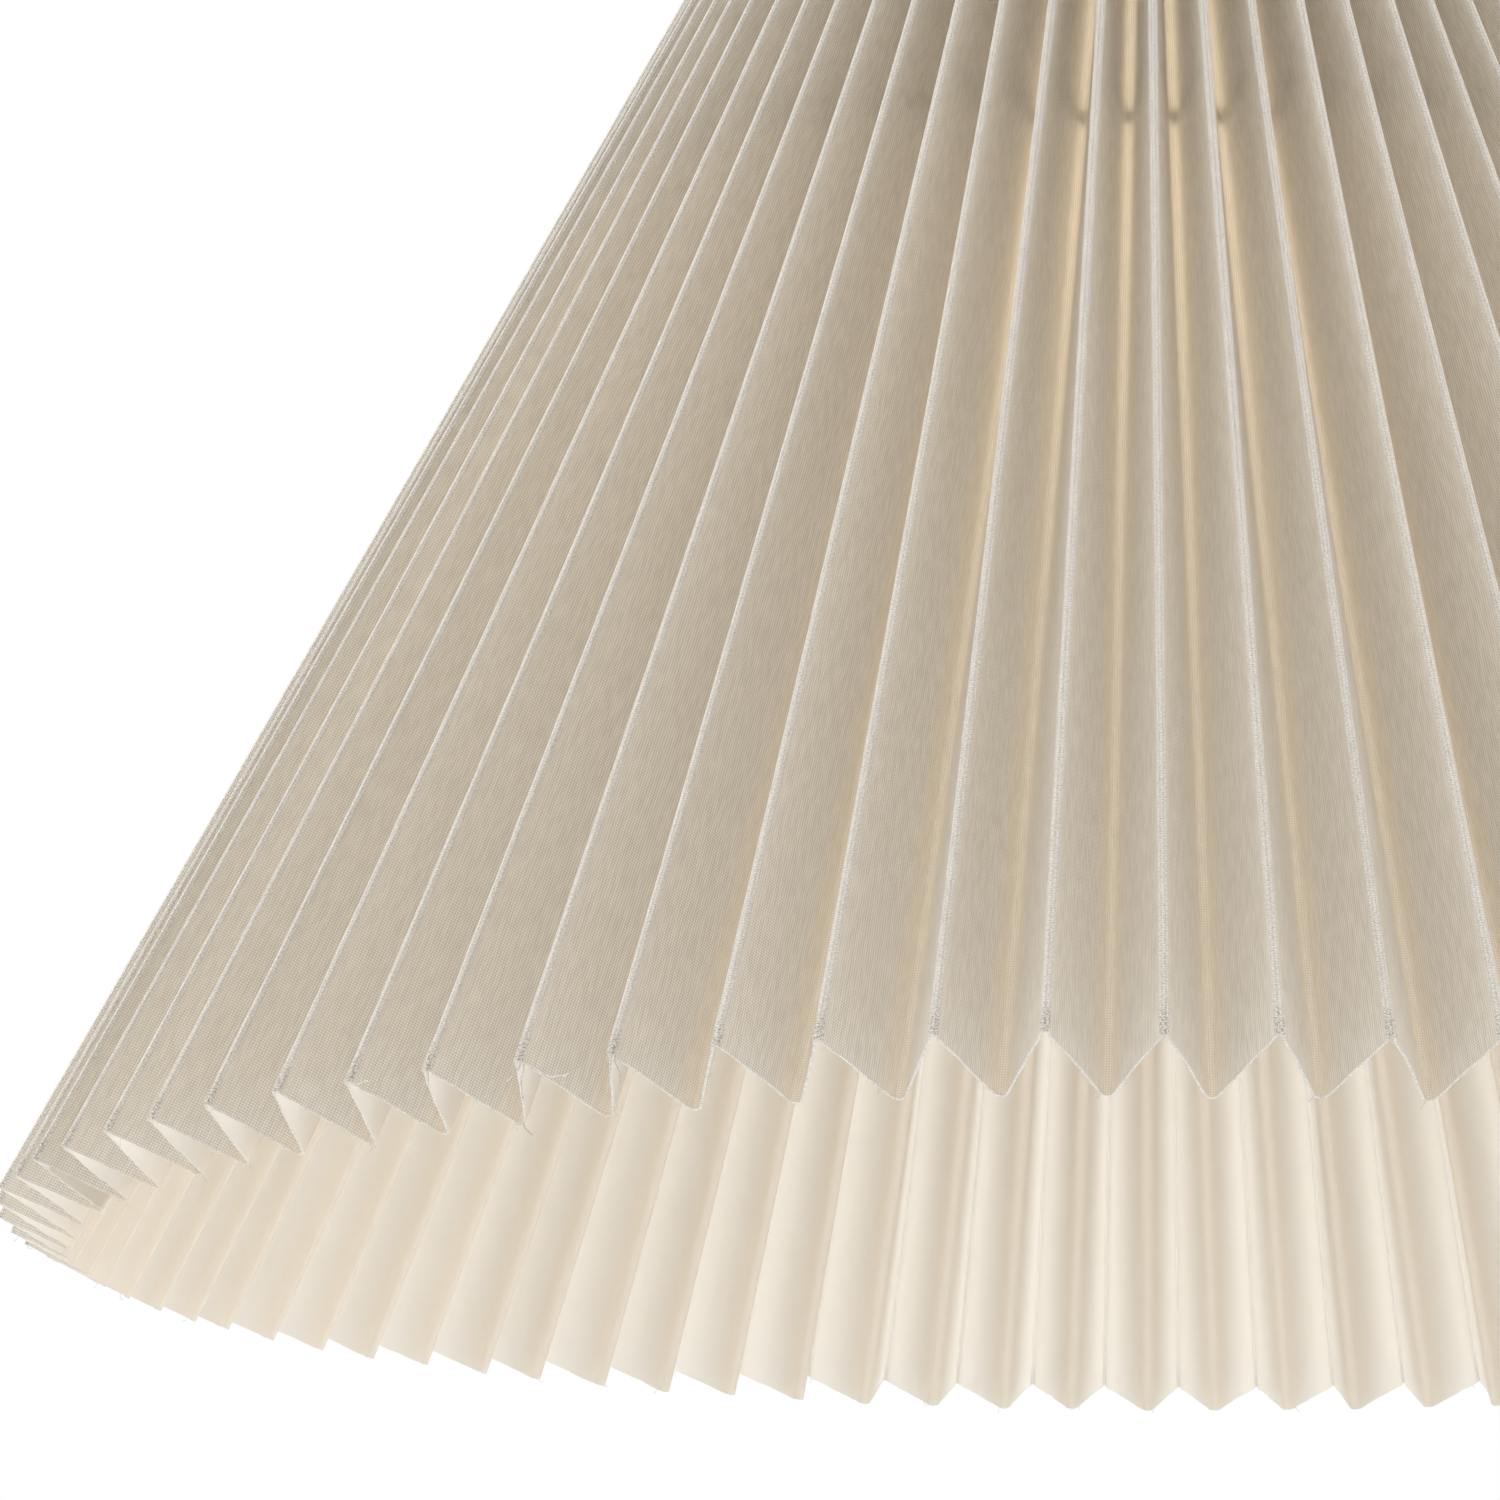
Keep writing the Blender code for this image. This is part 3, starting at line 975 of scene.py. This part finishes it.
# %% Light of the room
FRONT_LIGHT = 0.06
BACK_LIGHT = 1.42
TOP_LIGHT = 0.66
LEFT_LIGHT = 0.95
RIGHT_LIGHT = 0.50
LOW_PANEL = 0.68          # watts of the soft disc below the mouth
PANEL_AHEAD = 0.5         # rim radii that it stands in front of the axis
PANEL_DOWN = 0.5          # share of the way down to the floor
PANEL_AIM = 0.95          # rim radii behind the axis that it is aimed at
GLOW = 0.32               # watts of the soft light hung in the upper hollow
GLOW_SIZE = 0.045         # its radius
GLOW_UP = 0.75            # its height, as a share of the ring's


def room_light():
    """White all round for the eye; for the light, dimmer in front and brighter behind."""
    world = bpy.data.worlds.new("room")
    bpy.context.scene.world = world
    tree = Tree(world)
    direction = tree.node("ShaderNodeTexCoord", output=0)
    behind = tree.part(direction, "Y").ramp(-0.85, 0.05)
    overhead = tree.part(direction, "Z").ramp(0.1, 0.95)
    right = tree.part(direction, "X").ramp(0.35, 0.95)
    left = (tree.part(direction, "X") * -1).ramp(0.25, 0.95)
    strength = (FRONT_LIGHT + behind * (BACK_LIGHT - FRONT_LIGHT) + overhead * TOP_LIGHT
                + left * LEFT_LIGHT + right * RIGHT_LIGHT)
    tint = tree.mix(behind, rgb(1.0, 0.90, 0.78), rgb(0.97, 0.985, 1.0))
    lit = tree.node("ShaderNodeBackground", {}, {"Color": tint, "Strength": strength})
    seen = tree.node("ShaderNodeBackground", {}, {"Color": rgb(1.0, 1.0, 1.0), "Strength": 1.0})
    looked_at = tree.node("ShaderNodeLightPath")
    tree.output("ShaderNodeOutputWorld", tree.blend(looked_at, lit, seen))


def hollow_glow():
    """A weak, soft light where a bulb would hang; it keeps the upper pleats from going dull."""
    light = bpy.data.lights.new("hollow_glow", "POINT")
    light.energy = GLOW
    light.shadow_soft_size = GLOW_SIZE
    light.color = (1.0, 0.88, 0.72)
    lamp = bpy.data.objects.new("hollow_glow", light)
    lamp.location = (0.0, 0.0, GLOW_UP * RING_HEIGHT)
    bpy.context.scene.collection.objects.link(lamp)


def low_panel():
    """A soft disc below the mouth, turned toward the far wall, so the near one gets less of it."""
    light = bpy.data.lights.new("low_panel", "AREA")
    light.shape = "DISK"
    light.size = 2 * RIM_RADIUS
    light.energy = LOW_PANEL
    light.color = (0.96, 0.98, 1.0)
    panel = bpy.data.objects.new("low_panel", light)
    place = Vector((0.0, -PANEL_AHEAD * RIM_RADIUS, PANEL_DOWN * FLOOR_HEIGHT))
    aim = Vector((0.0, PANEL_AIM * RIM_RADIUS, RIM_HEIGHT))
    panel.location = place
    panel.rotation_euler = (aim - place).to_track_quat("-Z", "Y").to_euler()
    panel.visible_camera = False
    bpy.context.scene.collection.objects.link(panel)


room_light()
hollow_glow()
low_panel()
bpy.context.scene.view_settings.view_transform = "Standard"
print("lights:", sorted(light.name for light in bpy.data.lights))

# %% [markdown]
